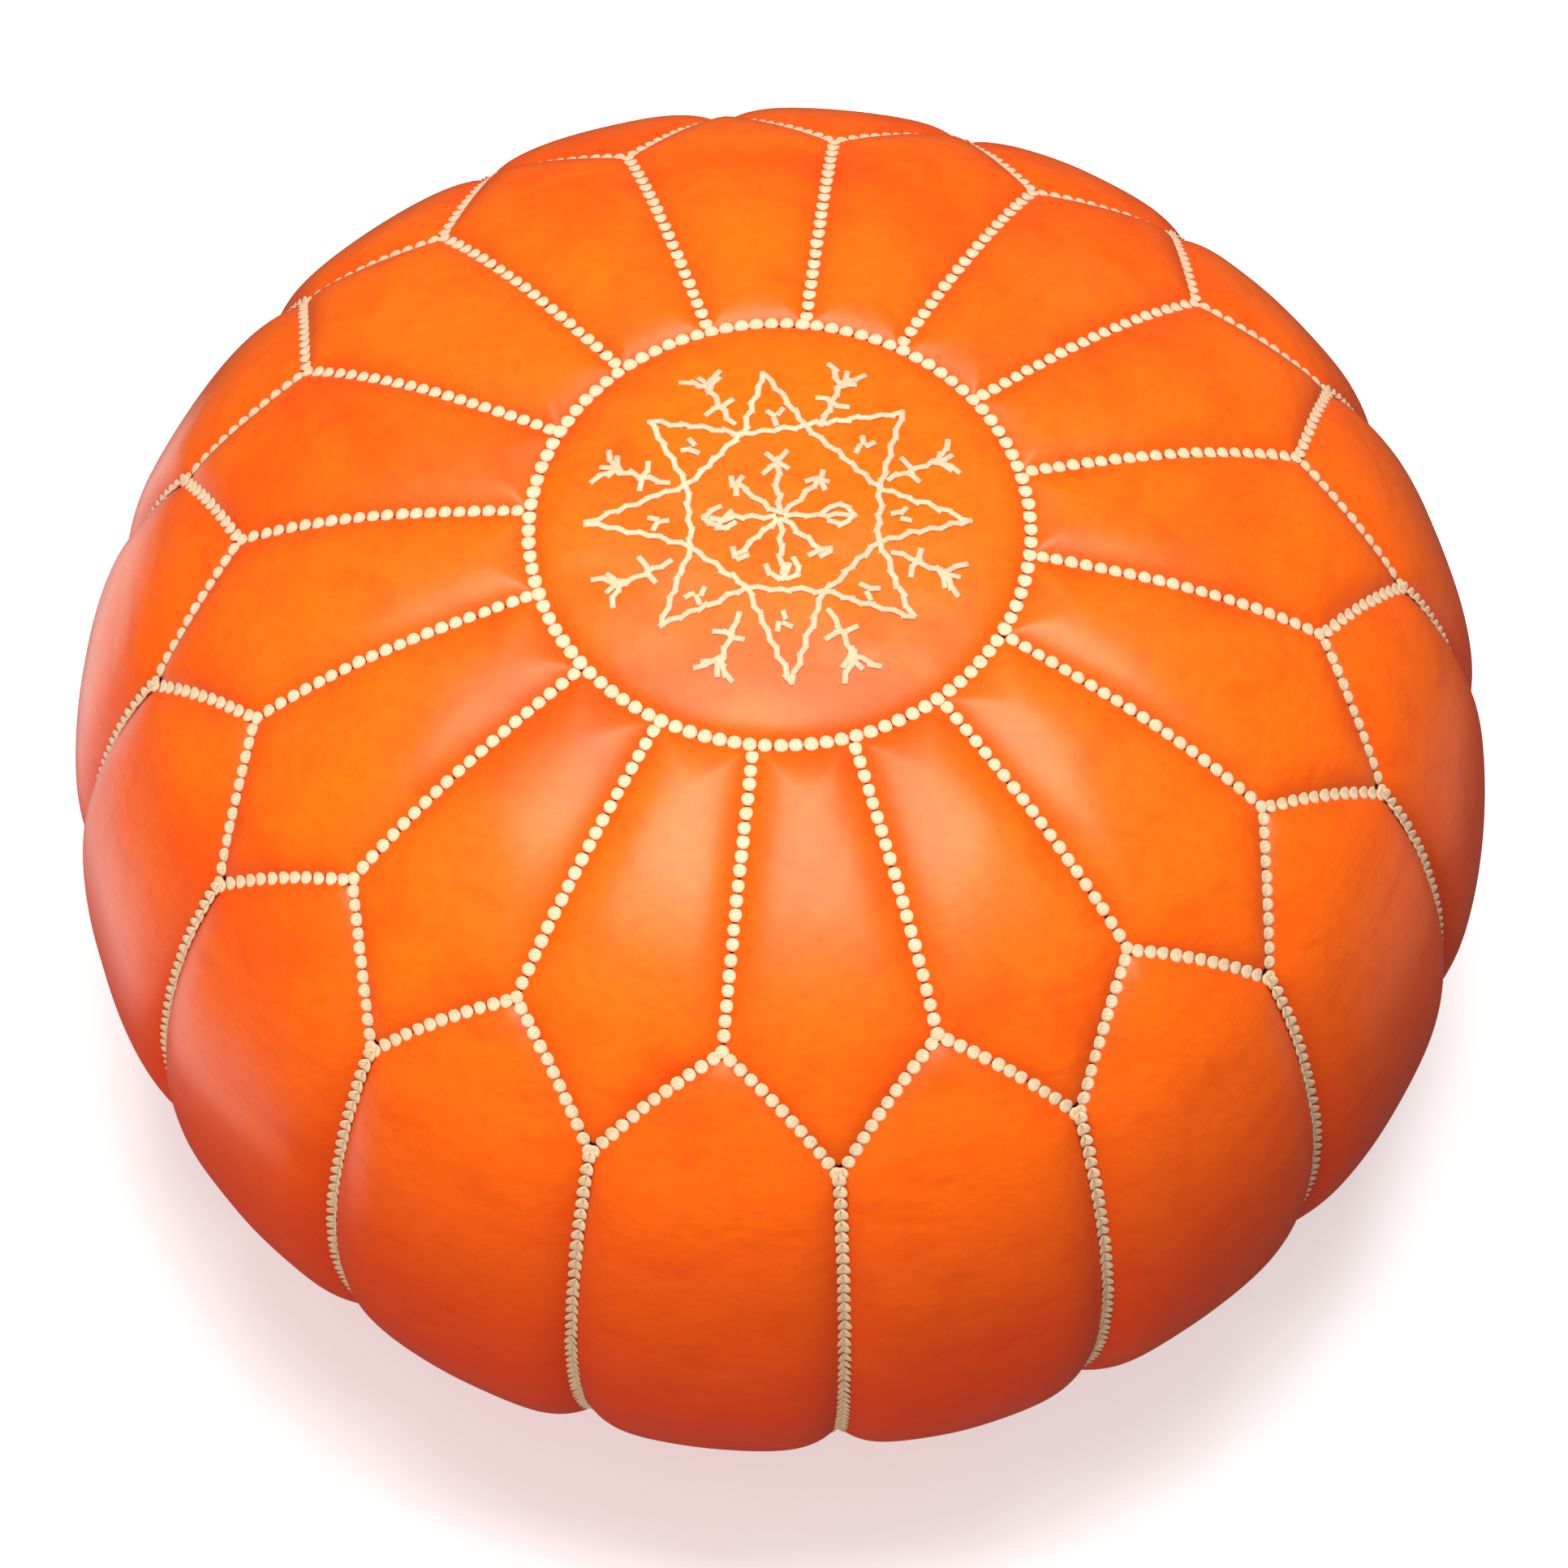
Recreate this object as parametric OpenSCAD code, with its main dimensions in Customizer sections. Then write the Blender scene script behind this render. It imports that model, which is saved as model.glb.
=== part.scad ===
// Moroccan leather pouf: a stuffed round floor seat, sewn from a medallion, a ring of
// pointed petals and a ring of side panels, with a zip in its base to fill it through.
// Units are millimetres. The origin is the middle of the base, on the floor; +Z is up.

/* [Cover outline] */
// Radius of the nearly flat crown
crown_arc = 576; // [560:1:600]
// Radius of the slope between the crown and the shoulder
slope_arc = 207; // [195:1:220]
// Radius of the shoulder
shoulder_arc = 132; // [124:1:140]
// Radius of the side
side_arc = 187; // [180:1:195]
// Radius where the side turns under to the floor
foot_arc = 112; // [106:1:118]
// Thickness of the leather
leather = 2; // [1.2:0.1:2.2]

/* [Panels and seams] */
// Number of petals, and of side panels under them
panels = 16; // [12:2:18]
// Radius of the seam round the medallion
medallion_r = 92.4; // [88:0.2:96]
// Radius where two petals and a side panel meet
notch_r = 201.2; // [196:0.2:206]
// Radius of a petal's tip
tip_r = 233.4; // [228:0.2:238]
// Radius of the seam round the base
base_r = 165; // [158:1:170]
// Width of the channel that a row of stitches fills
seam_w = 5; // [4:0.2:6]
// Thickness of a row of stitches
stitch_t = 3; // [2:0.2:3]

/* [Embroidery] */
// Turn of the star from the seams, in degrees
star_turn = 8; // [0:1:22]
// Radius of the star's long points
star_r = 68; // [62:1:74]
// Radius where the star's lines cross
star_cross_r = 37; // [34:1:40]
// Width of an embroidered line
line_w = 2.4; // [1.6:0.2:3]
// How far the embroidery stands up from the leather
line_t = 1; // [0.6:0.1:1.4]

/* [Base and zip] */
// Height of the hollow in the base that keeps the zip off the floor
dish_h = 14; // [14:0.5:16]
// Radius of the hollow's flat roof
dish_r = 98; // [98:1:102]
// Radius where the hollow meets the flat ring that rests on the floor
rest_r = 126; // [124:1:130]
// Half the length of the opening that shows the zip
slot_l = 95; // [94:1:97]
// Half the width of that opening
slot_w = 7; // [6.5:0.5:8]
// Distance between two teeth on one tape
tooth_pitch = 2.8; // [2.6:0.1:3.2]
// Number of teeth on each tape
teeth = 58; // [50:1:58]
// Length of the pull tab, from its hinge to its round end's centre
tab_l = 20; // [14:1:20]

/* [Hidden] */
$fn = 96;
node = "all";
half_step = 180 / panels;
// The normals at which one arc of the outline hands over to the next, from straight up to straight down
arc_ends = [90, 76, 60, 28, -35, -90];
arcs = [crown_arc, slope_arc, shoulder_arc, side_arc, foot_arc];
arc_step = 5;
function heading(a) = [cos(a), sin(a)];
// What each arc comes down by, and the whole height
drops = [for (k = [0:4]) arcs[k] * (sin(arc_ends[k]) - sin(arc_ends[k + 1]))];
height = drops * [1, 1, 1, 1, 1];
function arc_centre(k) =
    k == 0 ? [0, height - arcs[0]]
    : arc_centre(k - 1) + (arcs[k - 1] - arcs[k]) * heading(arc_ends[k]);
// The widest level, which parts the top of the cover from its underside
waist_z = arc_centre(3)[1];
foot_r = arc_centre(4)[0];
above = 2 * height;

// The cover's outline from the crown to the middle of the base, taken in by depth
function outline(depth, dish = dish_h) = concat(
    [[0, height - depth]],
    [for (k = [0:4])
        let (turns = ceil((arc_ends[k] - arc_ends[k + 1]) / arc_step))
            for (i = [1:turns])
                arc_centre(k) + (arcs[k] - depth)
                    * heading(arc_ends[k] + (arc_ends[k + 1] - arc_ends[k]) * i / turns)],
    [for (t = [0:0.1:1])
        [rest_r + (dish_r - rest_r) * t, depth + dish * t * t * (3 - 2 * t)]],
    [[0, depth + dish]]
);
function backwards(list) = [for (i = [len(list) - 1:-1:0]) list[i]];

// A polygon with every side moved in by d; the corners go round anticlockwise
function edge_normal(p, q) = let (d = q - p) [-d[1], d[0]] / norm(d);
function inset(poly, d) = let (n = len(poly)) [
    for (i = [0:n - 1])
        let (
            before = edge_normal(poly[(i + n - 1) % n], poly[i]),
            after = edge_normal(poly[i], poly[(i + 1) % n])
        )
            poly[i] + d * (before + after) / (1 + before * after)
];
// The zigzag seam in plan, notch to tip all the way round
zigzag = [for (i = [0:2 * panels - 1])
    (i % 2 == 0 ? notch_r : tip_r) * heading(i * half_step)];

seam_h = seam_w / 2;
stitch_h = seam_h - 0.1;
stitch_top = 1;
bag_depth = 4.5;
bag_t = 1;
// The bag and filling sit higher over the zip than the leather does
bag_dish = dish_h + 4;

// Levels of the zip, upwards: the leather's inner face, then the tape, with the teeth astride it
tape_z = dish_h + leather + 0.2;
tape_t = 0.8;
tape_w = 14;
tape_l = 103;
zip_z = tape_z + tape_t / 2;
tooth_w = 3.2;
tooth_over = 1;
tooth_t = 1.2;
tooth_h = 2.8;
chain_x = -tooth_pitch * (teeth - 1) / 2 - 1;
// The slider stands at the closed end, its back half over the last teeth
plate_t = 1.2;
slider_l = 14;
slider_w = 9.6;
channel_w = 7.2;
channel_h = 3.4;
// The stops are taller than the slider's channel, so that it can't run off the chain
stop_l = 2.4;
stop_h = channel_h + 1;
slider_x = -chain_x + 1;
slider_under_z = zip_z - channel_h / 2 - plate_t;
bar_r = 0.8;
bar_gap = 0.4;
bar_z = slider_under_z - bar_gap - bar_r;
bail_w = 2.4;
bail_l = 7.6;
bail_in = 3.6;
bail_t = 1.1;
tab_w = 8;
tab_t = 1.6;
tab_start = 5;
arm_in = 1.5;

LEATHER = [1, 0.42, 0.06];
THREAD = [1, 0.92, 0.74];
COTTON = [0.93, 0.91, 0.86];
TAPE = [0.78, 0.33, 0.08];
BRASS = [0.72, 0.56, 0.28];

function two_digits(i) = str(i < 10 ? "0" : "", i);
function numbered(name) = [for (i = [1:panels]) str(name, "_", two_digits(i))];
NODES = concat(
    ["medallion"], numbered("petal"), numbered("side_panel"),
    ["base_half_left", "base_half_right", "inner_bag", "filling",
     "ring_stitching", "radial_stitching", "zigzag_stitching", "side_stitching",
     "base_stitching", "base_seam_stitching",
     "star_embroidery", "point_embroidery", "spoke_embroidery", "sprig_embroidery",
     "zip_tape_left", "zip_tape_right", "zip_teeth_left", "zip_teeth_right",
     "zip_top_stops", "zip_bottom_stop", "zip_slider", "zip_pull_tab"]
);

// The skin between two depths under the outline
module section(outer, inner) {
    polygon(concat(outline(outer), backwards(outline(inner))));
}
module skin(outer, inner) {
    rotate_extrude() section(outer, inner);
}
// The skin of the top, or of the underside, between two radii
module top_skin(outer, inner, from = 0, to = above) {
    rotate_extrude() intersection() {
        section(outer, inner);
        translate([from, waist_z]) square([to - from, above]);
    }
}
module under_skin(outer, inner, from = 0, to = above) {
    rotate_extrude() intersection() {
        section(outer, inner);
        translate([from, -1]) square([to - from, waist_z]);
    }
}
module column(points) { linear_extrude(above) polygon(points); }

// The round leather disc in the middle of the crown
module medallion() {
    color(LEATHER) top_skin(0, leather, 0, medallion_r - seam_h);
}

// One petal of the top, square at the medallion and pointed at the shoulder
module petal(i) {
    plan = [[0, 0], notch_r * heading(-half_step), [tip_r, 0], notch_r * heading(half_step)];
    color(LEATHER) rotate([0, 0, (2 * i - 1) * half_step]) difference() {
        intersection() {
            top_skin(0, leather);
            column(inset(plan, seam_h));
        }
        cylinder(h = above, r = medallion_r + seam_h);
    }
}

// One side panel, from the notch between two petals down and under to the base
module side_panel(i) {
    wedge = [[0, 0], above * heading(-half_step), above * heading(half_step)];
    top_cut = [[0, 0], tip_r * heading(-half_step), [notch_r, 0], tip_r * heading(half_step)];
    color(LEATHER) rotate([0, 0, 2 * (i - 1) * half_step]) difference() {
        intersection() {
            skin(0, leather);
            column(inset(wedge, seam_h));
        }
        translate([0, 0, waist_z]) column(inset(top_cut, -seam_h));
        translate([0, 0, -1]) cylinder(h = waist_z, r = base_r + seam_h);
    }
}

// Half of the base, to one side of the zip: side is 1 for left (+Y) and -1 for right
module base_half(side) {
    reach = 2 * base_r;
    color(LEATHER) difference() {
        intersection() {
            under_skin(0, leather, 0, base_r - seam_h);
            translate([-reach, side > 0 ? seam_h : -seam_h - reach, -1])
                cube([2 * reach, reach, waist_z]);
        }
        translate([-slot_l, -slot_w, -1]) cube([2 * slot_l, 2 * slot_w, waist_z]);
    }
}

// The cotton bag that holds the filling, and the filling
module inner_bag() {
    color(COTTON) rotate_extrude() polygon(concat(
        outline(bag_depth, bag_dish), backwards(outline(bag_depth + bag_t, bag_dish))
    ));
}
module filling() {
    color(COTTON) rotate_extrude() polygon(outline(bag_depth + bag_t + 0.5, bag_dish));
}

// The rows of thread that cover the seams, each lying in its channel
module ring_stitching() {
    color(THREAD) top_skin(stitch_top, stitch_top + stitch_t,
                           medallion_r - stitch_h, medallion_r + stitch_h);
}
module radial_stitching() {
    color(THREAD) intersection() {
        top_skin(stitch_top, stitch_top + stitch_t, medallion_r + seam_h);
        column(inset(zigzag, seam_h));
        for (i = [0:panels - 1]) rotate([0, 0, 2 * i * half_step])
            translate([0, -stitch_h, 0]) cube([above, 2 * stitch_h, above]);
    }
}
module zigzag_stitching() {
    color(THREAD) difference() {
        intersection() {
            top_skin(stitch_top, stitch_top + stitch_t);
            column(inset(zigzag, -stitch_h));
        }
        column(inset(zigzag, stitch_h));
    }
}
module side_stitching() {
    color(THREAD) difference() {
        intersection() {
            skin(stitch_top, stitch_top + stitch_t);
            for (i = [0:panels - 1]) rotate([0, 0, (2 * i + 1) * half_step])
                translate([0, -stitch_h, 0]) cube([above, 2 * stitch_h, above]);
        }
        translate([0, 0, waist_z]) column(inset(zigzag, -seam_h));
        translate([0, 0, -1]) cylinder(h = waist_z, r = base_r + seam_h);
    }
}
module base_stitching() {
    color(THREAD) under_skin(stitch_top, stitch_top + stitch_t,
                             base_r - stitch_h, base_r + stitch_h);
}
// The short seams that close the base beyond each end of the zip
module base_seam_stitching() {
    color(THREAD) intersection() {
        under_skin(stitch_top, stitch_top + stitch_t, tape_l + 1, base_r - seam_h);
        translate([-base_r, -stitch_h, -1]) cube([2 * base_r, 2 * stitch_h, waist_z]);
    }
}

// A straight stitched line from p to q
module line(p, q) {
    along = q - p;
    translate(p) rotate(atan2(along[1], along[0]))
        translate([-line_w / 2, -line_w / 2]) square([norm(along) + line_w, line_w]);
}
module embroidered() {
    color(THREAD) intersection() {
        top_skin(-line_t - 0.05, -0.05);
        linear_extrude(above) rotate(star_turn) children();
    }
}
// The eight-pointed star: each line runs from a point, past two crossings, to the next point but one
module star_embroidery() {
    embroidered() for (k = [0:7]) rotate(45 * k) {
        tip = [star_r, 0];
        cross_a = star_cross_r * heading(22.5);
        middle = 0.93 * star_cross_r * heading(45);
        cross_b = star_cross_r * heading(67.5);
        line(tip, cross_a);
        line(cross_a, middle);
        line(middle, cross_b);
        line(cross_b, [0, star_r]);
    }
}
// The small forked mark inside each point
module point_embroidery() {
    embroidered() for (k = [0:7]) rotate(45 * k) {
        line([41, 0], [45, 0]);
        line([45, 0], [48, 2.5]);
        line([45, 0], [48, -2.5]);
    }
}
// The eight spokes in the middle, each with an arrowhead
module spoke_embroidery() {
    embroidered() for (k = [0:7]) rotate(45 * k) {
        line([0, 0], [24, 0]);
        line([25, 0], [19, 4]);
        line([25, 0], [19, -4]);
    }
}
// The eight sprigs between the points: a stem with a cross bar and a forked head
module sprig_embroidery() {
    embroidered() for (k = [0:7]) rotate(45 * k + 22.5) {
        line([44, 0], [70, 0]);
        line([53, -5], [53, 5]);
        line([63, 0], [69, 6]);
        line([63, 0], [69, -6]);
    }
}

// One tape of the zip, behind the leather
module zip_tape(side) {
    color(TAPE) translate([-tape_l, side > 0 ? tooth_w + 0.1 : -tooth_w - 0.1 - tape_w, tape_z])
        cube([2 * tape_l, tape_w, tape_t]);
}
// One tape's row of teeth; the right row stands half a pitch on, so that the rows mesh
module zip_teeth(side) {
    shift = side > 0 ? 0 : tooth_pitch / 2;
    color(BRASS) for (i = [0:teeth - 1])
        translate([chain_x + shift + i * tooth_pitch - tooth_t / 2,
                   side > 0 ? -tooth_over : -tooth_w, zip_z - tooth_h / 2])
            cube([tooth_t, tooth_w + tooth_over, tooth_h]);
}
module zip_top_stops() {
    color(BRASS) for (side = [-1, 1])
        translate([slider_x + slider_l / 2 + 0.5, side > 0 ? tooth_over + 0.2 : -tooth_w,
                   zip_z - stop_h / 2])
            cube([stop_l, tooth_w - tooth_over - 0.2, stop_h]);
}
module zip_bottom_stop() {
    color(BRASS) translate([chain_x - tooth_t - stop_l, -tooth_w, zip_z - stop_h / 2])
        cube([stop_l, 2 * tooth_w, stop_h]);
}

// The slider: two plates round the chain, joined by the post that parts the teeth,
// with a bail underneath that holds the pull tab
module zip_slider() {
    nose = 2.5;
    plate = [
        [-slider_l / 2, -slider_w / 2 + nose / 2], [-slider_l / 2 + nose / 2, -slider_w / 2],
        [slider_l / 2 - nose, -slider_w / 2], [slider_l / 2, -slider_w / 2 + nose],
        [slider_l / 2, slider_w / 2 - nose], [slider_l / 2 - nose, slider_w / 2],
        [-slider_l / 2 + nose / 2, slider_w / 2], [-slider_l / 2, slider_w / 2 - nose / 2]
    ];
    tape_room = 0.4;
    color(BRASS) translate([slider_x, 0, 0]) {
        difference() {
            translate([0, 0, slider_under_z])
                linear_extrude(channel_h + 2 * plate_t) polygon(plate);
            translate([-slider_l, -channel_w / 2, zip_z - channel_h / 2])
                cube([2 * slider_l, channel_w, channel_h]);
            translate([-slider_l, -slider_w, tape_z - tape_room])
                cube([2 * slider_l, 2 * slider_w, tape_t + 2 * tape_room]);
        }
        translate([slider_l / 2 - 3.6, 0, zip_z - channel_h / 2]) cylinder(h = channel_h, r = 1.1);
        for (end = [-1, 1])
            translate([end > 0 ? bail_in / 2 : -bail_l / 2, -bail_w / 2,
                       bar_z - bar_r - bar_gap - bail_t])
                cube([(bail_l - bail_in) / 2, bail_w, slider_under_z - bar_z + bar_r + bar_gap + bail_t]);
        translate([-bail_l / 2, -bail_w / 2, bar_z - bar_r - bar_gap - bail_t])
            cube([bail_l, bail_w, bail_t]);
    }
}

// The pull tab: a round bar through the bail, two arms and a flat grip with a hole
module zip_pull_tab() {
    color(BRASS) translate([slider_x, 0, bar_z]) {
        rotate([90, 0, 0]) cylinder(h = tab_w, r = bar_r, center = true);
        for (side = [-1, 1])
            translate([-tab_start - 1, side > 0 ? arm_in : -tab_w / 2, -tab_t / 2])
                cube([tab_start + 1, tab_w / 2 - arm_in, tab_t]);
        difference() {
            union() {
                translate([-tab_l, -tab_w / 2, -tab_t / 2])
                    cube([tab_l - tab_start, tab_w, tab_t]);
                translate([-tab_l, 0, -tab_t / 2]) cylinder(h = tab_t, r = tab_w / 2);
            }
            translate([-tab_l, 0, -tab_t]) cylinder(h = 2 * tab_t, r = 2);
        }
    }
}

function wanted(name) = node == "all" || node == name;
if (wanted("medallion")) medallion();
for (i = [1:panels]) {
    if (wanted(str("petal_", two_digits(i)))) petal(i);
    if (wanted(str("side_panel_", two_digits(i)))) side_panel(i);
}
if (wanted("base_half_left")) base_half(1);
if (wanted("base_half_right")) base_half(-1);
if (wanted("inner_bag")) inner_bag();
if (wanted("filling")) filling();
if (wanted("ring_stitching")) ring_stitching();
if (wanted("radial_stitching")) radial_stitching();
if (wanted("zigzag_stitching")) zigzag_stitching();
if (wanted("side_stitching")) side_stitching();
if (wanted("base_stitching")) base_stitching();
if (wanted("base_seam_stitching")) base_seam_stitching();
if (wanted("star_embroidery")) star_embroidery();
if (wanted("point_embroidery")) point_embroidery();
if (wanted("spoke_embroidery")) spoke_embroidery();
if (wanted("sprig_embroidery")) sprig_embroidery();
if (wanted("zip_tape_left")) zip_tape(1);
if (wanted("zip_tape_right")) zip_tape(-1);
if (wanted("zip_teeth_left")) zip_teeth(1);
if (wanted("zip_teeth_right")) zip_teeth(-1);
if (wanted("zip_top_stops")) zip_top_stops();
if (wanted("zip_bottom_stop")) zip_bottom_stop();
if (wanted("zip_slider")) zip_slider();
if (wanted("zip_pull_tab")) zip_pull_tab();
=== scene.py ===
# %% [markdown]
# # A stuffed leather pouf
# This lesson builds the looks of a Moroccan floor seat: 35 pieces of dyed leather, sewn edge to
# edge with thick cream thread and stuffed. The CAD model says where each piece is, so it is
# loaded first, and all below is made in its frame, in metres, with +Z up and the floor at zero.

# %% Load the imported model
import math

import bmesh
import bpy
import numpy as np
from mathutils import Matrix, Vector, noise
from mathutils.bvhtree import BVHTree


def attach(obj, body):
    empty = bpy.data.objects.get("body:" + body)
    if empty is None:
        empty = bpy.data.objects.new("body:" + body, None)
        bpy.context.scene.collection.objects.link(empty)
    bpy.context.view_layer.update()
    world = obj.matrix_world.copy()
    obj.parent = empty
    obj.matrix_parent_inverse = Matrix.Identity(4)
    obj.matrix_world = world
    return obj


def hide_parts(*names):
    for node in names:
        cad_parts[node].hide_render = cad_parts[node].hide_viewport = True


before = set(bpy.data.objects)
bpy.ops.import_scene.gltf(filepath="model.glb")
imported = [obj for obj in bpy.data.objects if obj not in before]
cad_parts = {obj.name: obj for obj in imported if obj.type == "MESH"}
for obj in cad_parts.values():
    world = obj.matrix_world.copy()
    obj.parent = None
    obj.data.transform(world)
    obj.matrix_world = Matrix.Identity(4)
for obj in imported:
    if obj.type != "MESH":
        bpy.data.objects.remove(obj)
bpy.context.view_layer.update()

scene = bpy.context.scene

# %% [markdown]
# ## The form under the leather
# A pouf is round, so one outline turned about +Z gives its whole form. It could be a free curve,
# but stuffed leather bends in long fair arcs, and five tangent arcs follow it with ten numbers.
# The table says how far along the outline a point is (from the middle of the crown, over
# the side, to the middle of the base), its radius, its height and its normal.

# %% The outline as a table
ARC_ENDS = [90, 76, 60, 28, -35, -90]
ARC_RADII = [0.576, 0.207, 0.132, 0.187, 0.112]
REST_RING_R, DISH_R, DISH_H = 0.126, 0.098, 0.014


def outline_table():
    ends = np.radians(ARC_ENDS)
    height = sum(radius * (math.sin(a) - math.sin(b)) for radius, a, b in zip(ARC_RADII, ends, ends[1:]))
    centre = np.array([0.0, height - ARC_RADII[0]])
    points, normals = [], []
    for k, radius in enumerate(ARC_RADII):
        if k:
            corner = np.array([math.cos(ends[k]), math.sin(ends[k])])
            centre = centre + (ARC_RADII[k - 1] - radius) * corner
        turn = np.linspace(ends[k], ends[k + 1], 160)[1 if k else 0:]
        facing = np.stack([np.cos(turn), np.sin(turn)], 1)
        points.append(centre + radius * facing)
        normals.append(facing)
    t = np.linspace(0, 1, 80)[1:]
    roof = np.stack([REST_RING_R + (DISH_R - REST_RING_R) * t, DISH_H * t * t * (3 - 2 * t)], 1)
    floor_ring = np.linspace([points[-1][-1][0], 0], [REST_RING_R, 0], 12)[1:]
    middle = np.linspace([DISH_R, DISH_H], [0, DISH_H], 60)[1:]
    under = np.concatenate([floor_ring, roof, middle])
    steps = np.gradient(under, axis=0)
    across = np.stack([-steps[:, 1], steps[:, 0]], 1)
    points.append(under)
    normals.append(across / np.linalg.norm(across, axis=1, keepdims=True))
    points, normals = np.concatenate(points), np.concatenate(normals)
    along = np.concatenate([[0], np.cumsum(np.linalg.norm(np.diff(points, axis=0), axis=1))])
    return along, points[:, 0], points[:, 1], normals[:, 0], normals[:, 1]


ALONG, RADIUS, HEIGHT, OUT_R, OUT_Z = outline_table()
WIDEST = int(np.argmax(RADIUS))
print(f"outline {ALONG[-1]:.3f} m long, {2 * RADIUS.max():.3f} m wide, {HEIGHT.max():.3f} m high")


def lay(angle, along, depth=0.0):
    """Points that lie on the form at these angles and distances along the outline, sunk by depth."""
    r = np.interp(along, ALONG, RADIUS) - depth * np.interp(along, ALONG, OUT_R)
    z = np.interp(along, ALONG, HEIGHT) - depth * np.interp(along, ALONG, OUT_Z)
    return np.stack([r * np.cos(angle), r * np.sin(angle), z], -1)


def facing(angle, along):
    """The form's outward normals at those places."""
    n_r, n_z = np.interp(along, ALONG, OUT_R), np.interp(along, ALONG, OUT_Z)
    return np.stack([n_r * np.cos(angle), n_r * np.sin(angle), n_z], -1)


# %% [markdown]
# ## Where the seams run
# Sixteen radial seams leave the round one, and each ends at a notch, where two slanting seams
# start. Those meet in pairs at the petals' tips, and from each tip a seam runs down the side and
# under. Seen from above the slanting seams are straight lines, so their radius at an angle
# comes from the polar form of a line. The seams lie sunk between the panels that swell
# beside them, so their radii are measured at the bottom of the groove.

# %% Seam positions along the outline
PANELS = 16
HALF = math.pi / PANELS
GROOVE = 0.0052
MEASURED_DEPTH = 0.0045
MEDALLION_R, NOTCH_R, TIP_R, BASE_R = 0.0924, 0.2012, 0.2334, 0.165
groove_radius = RADIUS - MEASURED_DEPTH * OUT_R


def along_at(radius):
    """How far along the outline the top of the form has this radius, at the groove's depth."""
    return np.interp(radius, groove_radius[:WIDEST], ALONG[:WIDEST])


def zigzag_along(from_notch):
    """How far along the slanting seams lie, at an angle from the nearest notch."""
    across = np.abs((from_notch + HALF) % (2 * HALF) - HALF)
    run, rise = TIP_R * math.cos(HALF) - NOTCH_R, TIP_R * math.sin(HALF)
    radius = NOTCH_R * rise / (rise * np.cos(across) - run * np.sin(across))
    return along_at(radius)


def along_under(radius):
    """How far along the outline the under part of the form has this radius."""
    return np.interp(-np.asarray(radius), -RADIUS[WIDEST:], ALONG[WIDEST:])


RING_ALONG, BASE_ALONG = float(along_at(MEDALLION_R)), float(along_under(BASE_R))
NOTCH_ALONG, TIP_ALONG = float(zigzag_along(0.0)), float(zigzag_along(HALF))
print(f"round seam {RING_ALONG:.4f}, notch {NOTCH_ALONG:.4f}, tip {TIP_ALONG:.4f}, base {BASE_ALONG:.4f}")

# %% [markdown]
# ## Cutting the panels and laying them on the form
# Each panel starts as a flat grid and is laid on the form by moving its vertices: across is the
# angle, down is the distance along the outline, and the last row follows the slanting seam. So
# every seam is a clean edge of four-sided faces, where slicing a finished surface would leave
# slivers. The grid lines are closer near the seams, because the leather turns down there.

# %% Laying one panel
def as_mesh(bm, name, smooth=True):
    """The finished mesh of a bmesh, which is then let go."""
    mesh = bpy.data.meshes.new(name)
    bm.to_mesh(mesh)
    bm.free()
    if smooth:
        mesh.shade_smooth()
    return mesh


COLUMNS, PETAL_ROWS, SIDE_ROWS, CROWD = 22, 38, 72, 0.5


def crowded(t):
    """Moves numbers between -1 and 1 outwards, towards both ends."""
    return t + CROWD * np.sin(math.pi * t) / math.pi


def cut_grid(columns, rows):
    bm = bmesh.new()
    bmesh.ops.create_grid(bm, x_segments=columns, y_segments=rows, size=1)
    bm.verts.index_update()
    flat = np.array([v.co[:2] for v in bm.verts])
    return bm, crowded(flat[:, 0]), (1 - crowded(flat[:, 1])) / 2


def lay_petal(middle):
    bm, across, down = cut_grid(COLUMNS, PETAL_ROWS)
    end = zigzag_along(HALF - np.abs(across) * HALF)
    return bm, middle + across * HALF, RING_ALONG + down * (end - RING_ALONG)


def lay_side(middle):
    bm, across, down = cut_grid(COLUMNS, SIDE_ROWS)
    start = zigzag_along(np.abs(across) * HALF)
    return bm, middle + across * HALF, start + down * (BASE_ALONG - start)


def lay_medallion(middle):
    """The round piece: a square grid eased out to a circle, which leaves no pole in its middle."""
    bm = bmesh.new()
    bmesh.ops.create_grid(bm, x_segments=44, y_segments=44, size=1)
    flat = np.array([v.co[:2] for v in bm.verts])
    x = flat[:, 0] * np.sqrt(1 - flat[:, 1] ** 2 / 2)
    y = flat[:, 1] * np.sqrt(1 - flat[:, 0] ** 2 / 2)
    out = np.hypot(x, y)
    out = out + 0.35 * np.sin(math.pi * out) / math.pi * out
    return bm, middle + np.arctan2(y, x), out * RING_ALONG


# %% [markdown]
# ## How a panel swells between its seams
# Stitching holds a panel's edge down in a groove and the filling pushes the rest out, so its
# height depends on how far it is from its own edge: it climbs steeply in the first few
# millimetres, then eases into the panel's curve. Two fading terms give that climb, and soft
# seeded noise adds shallow dents.

# %% Distance to the seams, and the swell it gives
HIDE_T, TURN_IN, SEAM_GAP = 0.0016, 0.003, 0.00012
STEEP_DROP, STEEP_FADE, EASY_FADE = 0.0035, 0.0045, 0.011
SIDE_EXTRA, SIDE_EXTRA_FADE = 0.0026, 0.0075
DENT_FADE, NEAR_SEAM = 0.014, 0.007


def edge_loop(bm):
    """The panel's boundary vertices, in order round it."""
    start = next(e for e in bm.edges if e.is_boundary)
    loop, edge, vert = [], start, start.verts[0]
    while True:
        loop.append(vert.index)
        vert = edge.other_vert(vert)
        edge = next(e for e in vert.link_edges if e.is_boundary and e != edge)
        if edge == start:
            return loop


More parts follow.
